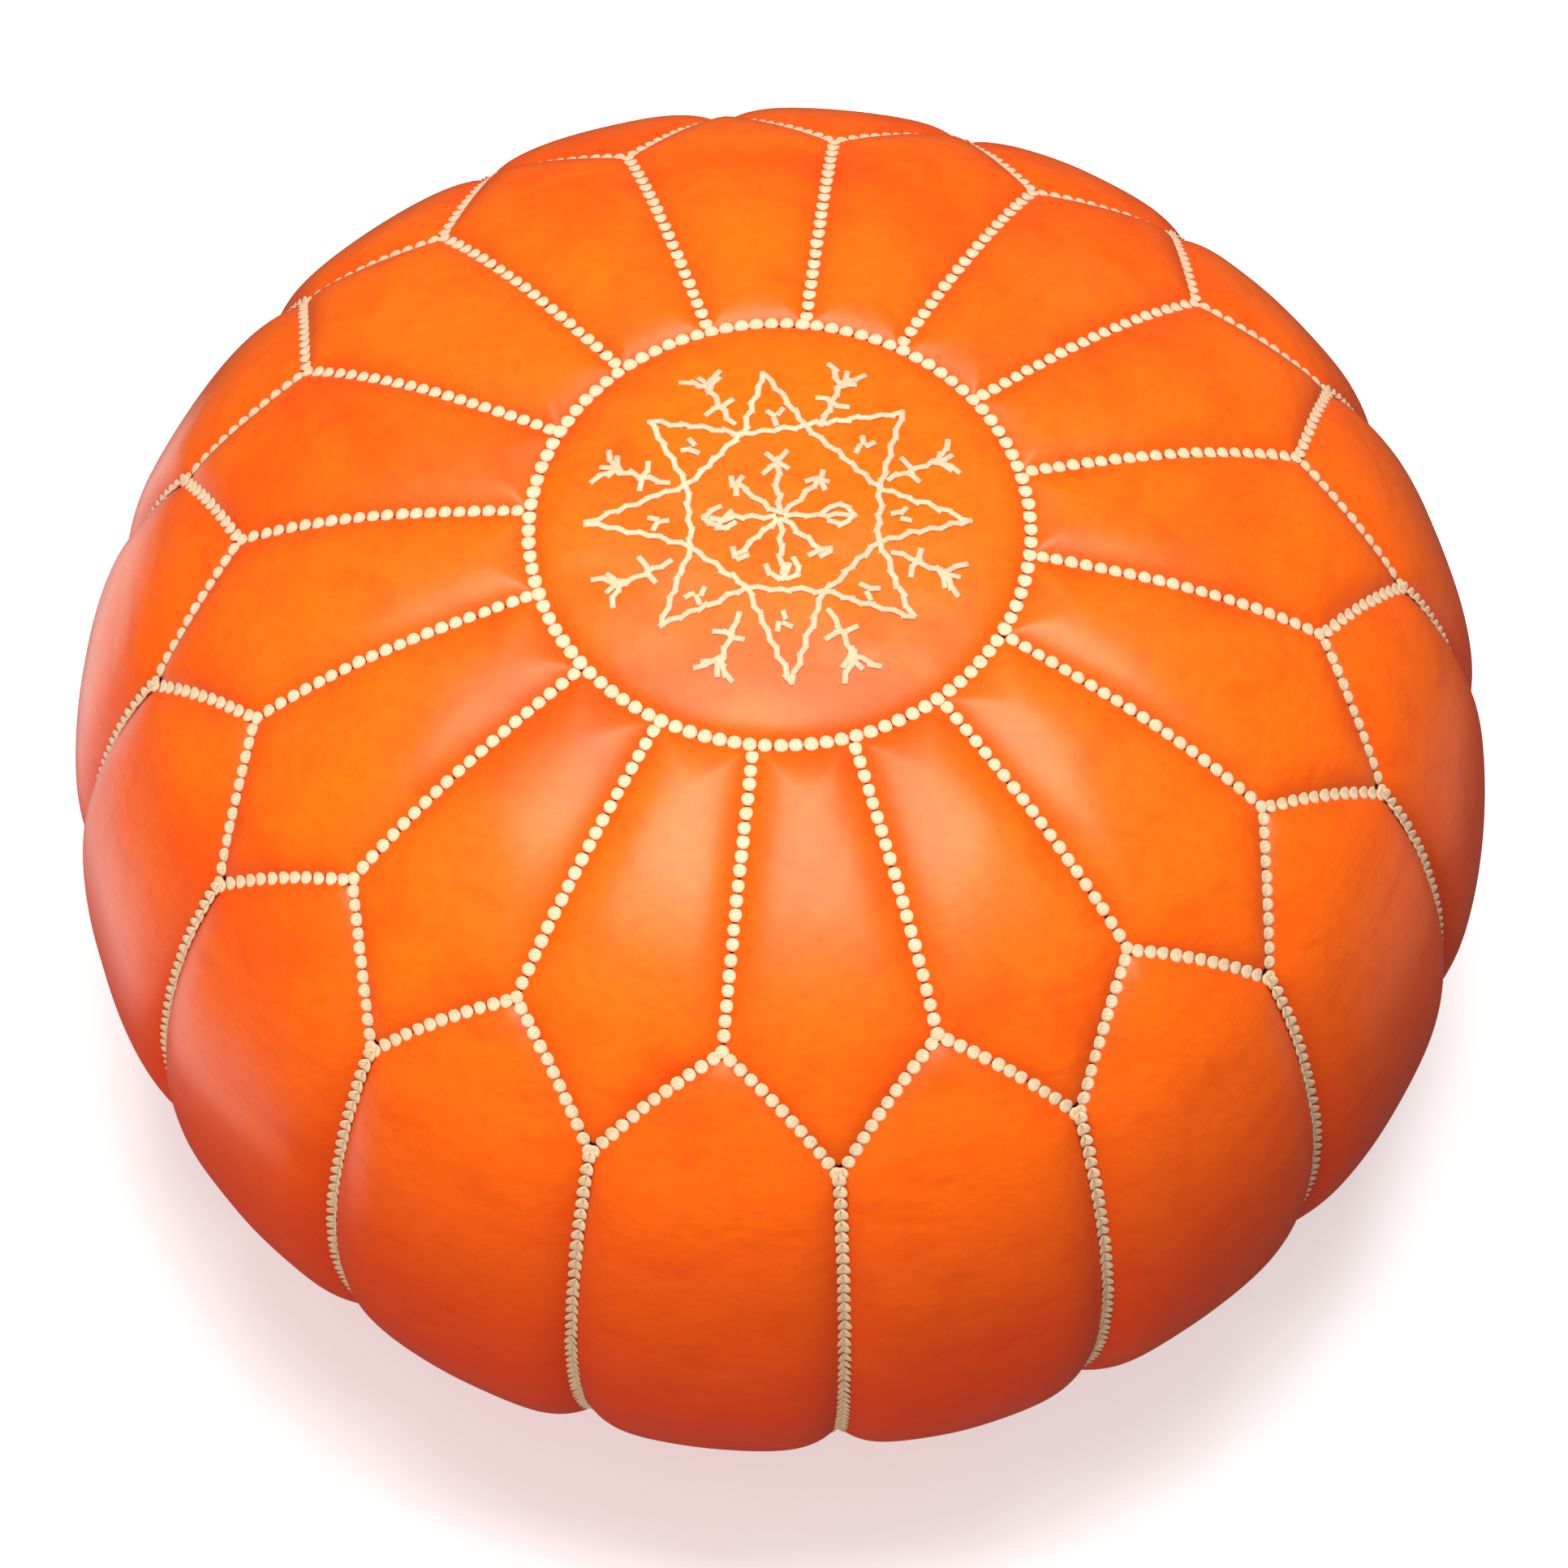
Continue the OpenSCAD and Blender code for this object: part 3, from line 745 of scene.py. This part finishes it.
def spun_inside(name, depth, steps, rows, lump, stretch, slot_name, node):
    bm = bmesh.new()
    stops = np.linspace(0, ALONG[-1], rows)
    ring = lay(0.0, stops, depth)
    ring[0, 0] = ring[-1, 0] = 0
    line = [bm.verts.new(p) for p in ring]
    edges = [bm.edges.new(pair) for pair in zip(line, line[1:])]
    bmesh.ops.spin(bm, geom=line + edges, cent=(0, 0, 0), axis=(0, 0, 1), angle=math.tau, steps=steps,
                   use_merge=True)
    bmesh.ops.remove_doubles(bm, verts=bm.verts, dist=1e-6)
    bmesh.ops.recalc_face_normals(bm, faces=bm.faces)
    bm.normal_update()
    moves = []
    for v in bm.verts:
        spot = Vector((v.co.x * stretch, v.co.y * stretch, v.co.z * 14))
        moves.append(v.normal * lump * (noise.noise(spot) - 0.7))
    for v, move in zip(bm.verts, moves):
        v.co += move
    return add_piece(name, as_mesh(bm, name), "cover", slot_name, node)


bag = spun_inside("cotton_bag", 0.0112, 160, 120, 0.0009, 55, "lining", "inner_bag")
filling = spun_inside("soft_filling", 0.0150, 72, 60, 0.0030, 22, "filling", "filling")
print("bag and filling:", len(bag.data.polygons), len(filling.data.polygons), "faces")

# %% [markdown]
# ## Camera
# The camera looks down at 58 degrees from five metres away through a long lens, which keeps
# the round outline nearly free of perspective.

# %% Aim the camera
CAMERA_AZIMUTH, CAMERA_ELEVATION, CAMERA_ROLL = math.radians(5.8), math.radians(58.23), math.radians(0.13)
back = Vector((
    math.sin(CAMERA_AZIMUTH) * math.cos(CAMERA_ELEVATION),
    -math.cos(CAMERA_AZIMUTH) * math.cos(CAMERA_ELEVATION),
    math.sin(CAMERA_ELEVATION),
))
right = Vector((math.cos(CAMERA_AZIMUTH), math.sin(CAMERA_AZIMUTH), 0))
up = back.cross(right)
aim = Matrix((right, up, back)).transposed() @ Matrix.Rotation(CAMERA_ROLL, 3, "Z")
lens = bpy.data.cameras.new("camera")
lens.sensor_width, lens.lens, lens.clip_end = 36, 319.0, 50
camera = bpy.data.objects.new("camera", lens)
scene.collection.objects.link(camera)
seam_level = Vector((0, 0, 0.2847))
right, up = aim.col[0], aim.col[1]
camera.matrix_world = Matrix.Translation(
    seam_level + right * 0.0016 - up * 0.0726 + back * 5.149
) @ aim.to_4x4()
scene.camera = camera
print("camera at", [round(c, 3) for c in camera.location])

# %% [markdown]
# ## Light and floor
# A satin leather is drawn by what it mirrors. One wide soft box overhead gives the broad pale
# sheen on the slopes that face it. Two low ones lying beside the seat brighten its lower panels,
# and a wide one in front lights the near side without a reflection. A pale surrounding sky fills
# the rest, and is dimmer in reflections. The floor shows the shadow but throws no light back.

# %% Studio
scene.view_settings.view_transform = "Standard"
world = bpy.data.worlds.new("studio")
scene.world = world
world.use_nodes = True
sky, wires = world.node_tree.nodes, world.node_tree.links
sky["Background"].inputs["Color"].default_value = (1, 1, 1, 1)
seen_by, dimmer = sky.new("ShaderNodeLightPath"), sky.new("ShaderNodeMapRange")
dimmer.inputs["To Min"].default_value, dimmer.inputs["To Max"].default_value = 0.38, 0.10
wires.new(seen_by.outputs["Is Glossy Ray"], dimmer.inputs["Value"])
wires.new(dimmer.outputs["Result"], sky["Background"].inputs["Strength"])


def soft_box(name, place, target, size, brightness):
    """An area light; brightness is its radiance, so that a larger one isn't paler."""
    lamp = bpy.data.lights.new(name, "AREA")
    lamp.shape, lamp.size, lamp.size_y = "RECTANGLE", size[0], size[1]
    lamp.energy = brightness * math.pi * size[0] * size[1]
    light = bpy.data.objects.new(name, lamp)
    light.location = place
    light.rotation_euler = (Vector(target) - Vector(place)).to_track_quat("-Z", "Y").to_euler()
    scene.collection.objects.link(light)
    return light


soft_box("overhead", (0.0, 0.06, 2.2), (0, 0.06, 0.3), (1.34, 1.04), 12.2)
left_bounce = soft_box("left_bounce", (-0.47, -0.02, 0.01), (-0.47, -0.02, 1), (0.25, 0.66), 1.5)
right_bounce = soft_box("right_bounce", (0.70, 0.08, 0.01), (0.70, 0.08, 1), (0.5, 0.36), 0.35)
front_fill = soft_box("front_fill", (-1.1, -3.0, 0.8), (0, 0, 0.15), (2.4, 1.3), 4.2)
front_fill.visible_glossy = False
for bounce in (left_bounce, right_bounce):
    bounce.visible_camera = False

bm = bmesh.new()
bmesh.ops.create_grid(bm, x_segments=2, y_segments=2, size=12)
floor = bpy.data.objects.new("floor", as_mesh(bm, "floor", smooth=False))
scene.collection.objects.link(floor)
floor.visible_diffuse = floor.visible_glossy = False

# %% [markdown]
# ## Effects that several materials share
# Grain, uneven dye, fine scratches, weave and twisted fibres each come back on more than one
# material, so each is built once as a node group with named inputs and outputs. A group gives
# only masks and heights; the shader stays in the material, which keeps the finish readable.
# The helpers add their node to whichever group or material was begun last, which is the one
# that nodes and links stand for.

# %% Node group helper


def new_group(name, outputs, **numbers):
    """A node group that takes a Vector and some numbers, with the sockets at its two ends."""
    group = bpy.data.node_groups.new(name, "ShaderNodeTree")
    group.interface.new_socket("Vector", in_out="INPUT", socket_type="NodeSocketVector")
    for socket, value in numbers.items():
        made = group.interface.new_socket(socket, in_out="INPUT", socket_type="NodeSocketFloat")
        made.default_value = value
    for socket in outputs:
        group.interface.new_socket(socket, in_out="OUTPUT", socket_type="NodeSocketFloat")
    ends = group.nodes.new("NodeGroupInput").outputs, group.nodes.new("NodeGroupOutput").inputs
    return group, group.nodes, group.links, *ends


def feed(socket, given):
    """Sets a socket to a number or a colour, or wires another socket to it."""
    if isinstance(given, bpy.types.NodeSocket):
        links.new(given, socket)
    else:
        socket.default_value = (*given, 1) if isinstance(given, tuple) else given


def math_node(operation, *values):
    """A Math node fed by numbers or sockets; returns its output."""
    node = nodes.new("ShaderNodeMath")
    node.operation = operation
    for socket, value in zip(node.inputs, values):
        feed(socket, value)
    return node.outputs[0]


def ranged(value, low, high, to_low=0.0, to_high=1.0):
    """A smooth Map Range; returns its output."""
    node = nodes.new("ShaderNodeMapRange")
    node.interpolation_type = "SMOOTHSTEP"
    for socket, given in zip(("Value", "From Min", "From Max", "To Min", "To Max"),
                             (value, low, high, to_low, to_high)):
        feed(node.inputs[socket], given)
    return node.outputs["Result"]


def stretched(vector, scale):
    node = nodes.new("ShaderNodeMapping")
    node.inputs["Scale"].default_value = scale
    links.new(vector, node.inputs["Vector"])
    return node.outputs["Vector"]


def scattered(vector, scale, detail=3.0, roughness=0.5, distortion=0.0):
    """A Noise texture; scale is a number or a socket; returns its value."""
    node = nodes.new("ShaderNodeTexNoise")
    for socket, given in (("Vector", vector), ("Scale", scale), ("Detail", detail), ("Roughness", roughness),
                          ("Distortion", distortion)):
        feed(node.inputs[socket], given)
    return node.outputs["Fac"]


# %% Fine grain, for leather and cast metal
grain_group, nodes, links, entry, outlet = new_group("fine_grain", ["Height", "Mask"], Scale=1800.0)
cells = nodes.new("ShaderNodeTexVoronoi")
cells.feature = "SMOOTH_F1"
links.new(entry["Vector"], cells.inputs["Vector"])
links.new(entry["Scale"], cells.inputs["Scale"])
fine = scattered(entry["Vector"], entry["Scale"], 2, 0.6)
patchy = ranged(scattered(entry["Vector"], 45.0, 2), 0.35, 0.7, 0.45, 1.0)
pebble = math_node("MULTIPLY", cells.outputs["Distance"], 0.7)
mixed = math_node("ADD", pebble, math_node("MULTIPLY", fine, 0.5))
links.new(math_node("MULTIPLY", mixed, patchy), outlet["Height"])
links.new(ranged(mixed, 0.25, 0.85), outlet["Mask"])
print("group", grain_group.name)

# %% Uneven dye, for leather, thread and cloth
dye_group, nodes, links, entry, outlet = new_group(
    "uneven_dye", ["Mask"], Scale=9.0, Low=0.42, High=0.68)
broad = scattered(entry["Vector"], entry["Scale"], 5, 0.55, 0.6)
links.new(ranged(broad, entry["Low"], entry["High"]), outlet["Mask"])
print("group", dye_group.name)

# %% Fine scratches, for leather and metal
scratch_group, nodes, links, entry, outlet = new_group("fine_scratches", ["Mask"], Scale=30.0)
lines = []
for turned, squeeze in (((0.3, 0.2, 0.5), (1, 14, 3)), ((-0.4, 0.6, -0.9), (12, 1, 4))):
    lie = nodes.new("ShaderNodeMapping")
    lie.inputs["Rotation"].default_value = turned
    lie.inputs["Scale"].default_value = squeeze
    links.new(entry["Vector"], lie.inputs["Vector"])
    wander = scattered(lie.outputs["Vector"], entry["Scale"], 2, 0.4, 0.3)
    middle = math_node("ABSOLUTE", math_node("SUBTRACT", wander, 0.5))
    lines.append(ranged(middle, 0.0, 0.006, 1.0, 0.0))
rare = ranged(scattered(entry["Vector"], 16.0, 2), 0.56, 0.66)
both = math_node("MAXIMUM", *lines)
links.new(math_node("MULTIPLY", both, rare), outlet["Mask"])
print("group", scratch_group.name)

# %% Plain weave, for the bag and the tapes
weave_group, nodes, links, entry, outlet = new_group("plain_weave", ["Height", "Mask"], Scale=900.0)
pull = scattered(entry["Vector"], 260.0, 2)
sized = nodes.new("ShaderNodeVectorMath")
sized.operation = "SCALE"
links.new(entry["Vector"], sized.inputs[0])
links.new(entry["Scale"], sized.inputs["Scale"])
split = nodes.new("ShaderNodeSeparateXYZ")
links.new(sized.outputs[0], split.inputs[0])
yarns = [math_node("SINE", math_node("ADD", split.outputs[c], pull)) for c in (0, 1, 2)]
over = math_node("MULTIPLY", yarns[0], yarns[1])
over = math_node("ADD", over, math_node("MULTIPLY", yarns[2], 0.4))
level = ranged(over, -1.0, 1.0)
links.new(level, outlet["Height"])
links.new(math_node("MULTIPLY", level, pull), outlet["Mask"])
print("group", weave_group.name)

# %% Twisted fibres, for the thread and the filling
fibre_group, nodes, links, entry, outlet = new_group("twisted_fibres", ["Height", "Mask"], Scale=9.0)
frayed = scattered(stretched(entry["Vector"], (6, 1.2, 1)), 2.2, 3, 0.6)
split = nodes.new("ShaderNodeSeparateXYZ")
links.new(entry["Vector"], split.inputs[0])
slant = math_node("ADD", split.outputs[0], math_node("MULTIPLY", split.outputs[1], 0.35))
slant = math_node("ADD", slant, math_node("MULTIPLY", frayed, 0.5))
strand = math_node("SINE", math_node("MULTIPLY", slant, entry["Scale"]))
strand = math_node("MULTIPLY_ADD", strand, 0.3, 0.5)
links.new(math_node("ADD", strand, math_node("MULTIPLY", frayed, 0.6)), outlet["Height"])
links.new(ranged(math_node("ADD", strand, frayed), 0.6, 1.4), outlet["Mask"])
print("group", fibre_group.name)

# %% [markdown]
# ## Dyed leather
# The orange leather holds painted light and shade: it is painted lighter and yellower on the crown,
# where the overhead light falls, darker and redder down the sides, and darker again beside the seams,
# as painted shade in the grooves. Over that lie clouds of uneven dye, smudges, a faint grain and a few
# thin scratches, all mixed from masks on the object's own coordinates. The satin finish comes
# from a middling roughness that the clouds, the grain and the seams vary.

# %% Material helpers


def new_material(name, **settings):
    made = bpy.data.materials.new(name)
    made.use_nodes = True
    nodes = made.node_tree.nodes
    shader = nodes["Principled BSDF"]
    for socket, value in settings.items():
        shader.inputs[socket.replace("_", " ")].default_value = value
    return made, nodes, made.node_tree.links, shader, nodes.new("ShaderNodeTexCoord").outputs["Object"]


def effect(group, vector, **values):
    node = nodes.new("ShaderNodeGroup")
    node.node_tree = group
    links.new(vector, node.inputs["Vector"])
    for socket, value in values.items():
        node.inputs[socket].default_value = value
    return node.outputs


def tinted(factor, under, over, blend="MIX", amount=None):
    """A colour Mix: from one colour to another by a mask."""
    node = nodes.new("ShaderNodeMix")
    node.data_type, node.blend_type = "RGBA", blend
    if amount is not None:
        factor = math_node("MULTIPLY", factor, amount)
    links.new(factor, node.inputs["Factor"])
    feed(node.inputs["A"], under)
    feed(node.inputs["B"], over)
    return node.outputs["Result"]


def raised(shader, *layers):
    """Bump layers, each a height, its depth in metres and its strength, into the shader's normal."""
    last = None
    for height, depth, strength in layers:
        node = nodes.new("ShaderNodeBump")
        node.inputs["Distance"].default_value, node.inputs["Strength"].default_value = depth, strength
        links.new(height, node.inputs["Height"])
        if last is not None:
            links.new(last, node.inputs["Normal"])
        last = node.outputs["Normal"]
    links.new(last, shader.inputs["Normal"])


# %% Leather material
leather, nodes, links, shader, place = new_material("dyed_leather", Specular_IOR_Level=0.31,
                                                    Specular_Tint=(1.0, 0.88, 0.72, 1))
split = nodes.new("ShaderNodeSeparateXYZ")
links.new(place, split.inputs[0])
seam = nodes.new("ShaderNodeAttribute")
seam.attribute_name = "near_seam"
clouds = effect(dye_group, stretched(place, (1, 1, 1.9)), Scale=8.0, Low=0.44, High=0.70)
smudges = effect(dye_group, stretched(place, (1, 1, 2.6)), Scale=34.0, Low=0.46, High=0.72)
grain = effect(grain_group, place, Scale=1500.0)
scratches = effect(scratch_group, place, Scale=26.0)
# Painted light and shade: by height, the colour runs from darker and redder low down to lighter and yellower on
# the crown, where the overhead light falls.
height = ranged(split.outputs["Z"], 0.10, 0.29)
dye = tinted(height, (0.82, 0.043, 0.0002), (0.96, 0.144, 0.0016))
rubbed = effect(dye_group, stretched(place, (1, 1, 2.2)), Scale=190.0, Low=0.36, High=0.70)
paler = effect(dye_group, stretched(place, (1, 1, 1.4)), Scale=15.0, Low=0.54, High=0.78)
# Painted shade: the near_seam entry darkens and reddens the leather beside the seams, where the grooves lie in
# shade.
for mask, colour, amount in (
        (clouds["Mask"], (0.80, 0.052, 0.0004), 0.55), (smudges["Mask"], (0.66, 0.036, 0.0003), 0.26),
        (rubbed["Mask"], (0.72, 0.042, 0.0004), 0.20), (paler["Mask"], (0.96, 0.16, 0.020), 0.20),
        (seam.outputs["Fac"], (0.70, 0.042, 0.0004), 0.5), (scratches["Mask"], (0.98, 0.22, 0.02), 0.16)):
    dye = tinted(mask, dye, colour, amount=amount)
dye = tinted(grain["Mask"], dye, (0.78, 0.74, 0.70), "MULTIPLY", amount=0.22)
links.new(dye, shader.inputs["Base Color"])
rough = math_node("MULTIPLY_ADD", clouds["Mask"], 0.08, 0.29)
rough = math_node("MULTIPLY_ADD", seam.outputs["Fac"], 0.12, rough)
links.new(math_node("MULTIPLY_ADD", grain["Mask"], 0.05, rough), shader.inputs["Roughness"])
creases = scattered(stretched(place, (60, 60, 22)), 1.0, 4, 0.55, 0.8)
raised(shader, (creases, 0.0012, 0.10), (grain["Height"], 0.0001, 0.14))
for piece in leather_pieces:
    piece.data.materials.append(leather)
print("leather on", len(leather_pieces), "pieces")

# %% [markdown]
# ## Cream thread
# The thread is thick waxed cotton, and what makes it read as thread is the twist. The fibres
# follow the stitches' own UV map, because object coordinates would run through all the stitches
# in one direction. A tone kept on each stitch makes some a little darker, and a mask paints
# shade on their rims and undersides, a painted contact shadow where they sink into the leather.

# %% Thread material
thread, nodes, links, shader, place = new_material("cream_thread", Roughness=0.72, Sheen_Weight=0.25)
twist = nodes.new("ShaderNodeUVMap")
twist.uv_map = "thread"
tone = nodes.new("ShaderNodeAttribute")
tone.attribute_name = "tone"
rim = nodes.new("ShaderNodeAttribute")
rim.attribute_name = "rim"
fibres = effect(fibre_group, twist.outputs["UV"], Scale=11.0)
soiled = effect(dye_group, place, Scale=24.0, Low=0.45, High=0.75)
cream = tinted(fibres["Mask"], (0.71, 0.50, 0.29), (0.83, 0.63, 0.41))
cream = tinted(tone.outputs["Fac"], cream, (0.66, 0.42, 0.22), amount=0.3)
cream = tinted(soiled["Mask"], cream, (0.66, 0.38, 0.17), amount=0.2)
# Painted shade: the rim mask darkens each stitch's edge and underside as a contact shadow.
cream = tinted(rim.outputs["Fac"], cream, (0.60, 0.22, 0.05), amount=0.62)
links.new(cream, shader.inputs["Base Color"])
raised(shader, (fibres["Height"], 0.00012, 0.45))
for piece in thread_pieces:
    piece.data.materials.append(thread)
print("thread on", len(thread_pieces), "pieces")

# %% [markdown]
# ## Cotton, tape, filling and brass
# The bag is unbleached calico and the tapes are a close cotton weave, so both use the weave
# group at different scales. The zip is brass that hands have polished: its grain is that of a
# casting, and the scratches make it a little paler and rougher.

# %% Cloth and filling materials
CLOTHS = {
    "calico": ([bag], 0.9, 0.3, 4200.0, (14.0, 0.40), (0.58, 0.50, 0.38), (0.72, 0.65, 0.52), (0.60, 0.50, 0.36),
               (0.0002, 0.5)),
    "tape_cloth": (tape_pieces, 0.85, 0.2, 7000.0, (30.0, 0.45), (0.10, 0.032, 0.010), (0.19, 0.065, 0.022),
                   (0.12, 0.05, 0.02), (0.0001, 0.6)),
}
for name, (pieces, roughness, sheen, close, (patches, low), under, over, stain, relief) in CLOTHS.items():
    woven, nodes, links, shader, place = new_material(name, Roughness=roughness, Sheen_Weight=sheen)
    weave = effect(weave_group, place, Scale=close)
    mottle = effect(dye_group, place, Scale=patches, Low=low, High=0.75)
    cloth = tinted(weave["Mask"], under, over)
    links.new(tinted(mottle["Mask"], cloth, stain, amount=0.4), shader.inputs["Base Color"])
    raised(shader, (weave["Height"], *relief))
    for piece in pieces:
        piece.data.materials.append(woven)

wadding, nodes, links, shader, place = new_material("wadding", Roughness=0.95, Sheen_Weight=0.4)
tufts = effect(fibre_group, stretched(place, (90, 90, 90)), Scale=3.0)
links.new(tinted(tufts["Mask"], (0.70, 0.66, 0.60), (0.86, 0.84, 0.80)), shader.inputs["Base Color"])
raised(shader, (tufts["Height"], 0.002, 0.6))
filling.data.materials.append(wadding)
print("cloth materials:", *CLOTHS, wadding.name)

# %% Brass material
brass, nodes, links, shader, place = new_material("polished_brass", Metallic=1.0)
grain = effect(grain_group, place, Scale=5200.0)
scratches = effect(scratch_group, place, Scale=420.0)
mottle = effect(dye_group, place, Scale=210.0, Low=0.42, High=0.72)
metal = tinted(mottle["Mask"], (0.78, 0.55, 0.25), (0.52, 0.34, 0.14), amount=0.7)
links.new(tinted(scratches["Mask"], metal, (0.92, 0.74, 0.44), amount=0.5), shader.inputs["Base Color"])
rough = math_node("MULTIPLY_ADD", mottle["Mask"], 0.22, 0.24)
links.new(math_node("MULTIPLY_ADD", scratches["Mask"], 0.12, rough), shader.inputs["Roughness"])
raised(shader, (grain["Height"], 0.00005, 0.3), (scratches["Mask"], 0.00003, 0.4))
BRASS_NODES = ["zip_teeth_left", "zip_teeth_right", "zip_top_stops", "zip_bottom_stop", "zip_slider",
               "zip_pull_tab"]
for node in BRASS_NODES:
    for holder in bpy.data.objects[node].material_slots:
        holder.material = brass
print("brass on", len(BRASS_NODES), "CAD parts")

# %% Floor material
pale_floor, nodes, links, shader, place = new_material("pale_floor", Roughness=0.9, Emission_Color=(1, 1, 1, 1))
links.new(math_node("MULTIPLY", nodes.new("ShaderNodeLightPath").outputs["Is Camera Ray"], 0.42),
          shader.inputs["Emission Strength"])
faint = scattered(place, 3.0, 3, 0.5)
links.new(tinted(faint, (0.84, 0.84, 0.84), (0.88, 0.88, 0.88)), shader.inputs["Base Color"])
clear, under = nodes.new("ShaderNodeBsdfTransparent"), nodes.new("ShaderNodeMixShader")
links.new(nodes.new("ShaderNodeNewGeometry").outputs["Backfacing"], under.inputs["Fac"])
links.new(shader.outputs[0], under.inputs[1])
links.new(clear.outputs[0], under.inputs[2])
links.new(under.outputs[0], nodes["Material Output"].inputs["Surface"])
floor.data.materials.append(pale_floor)
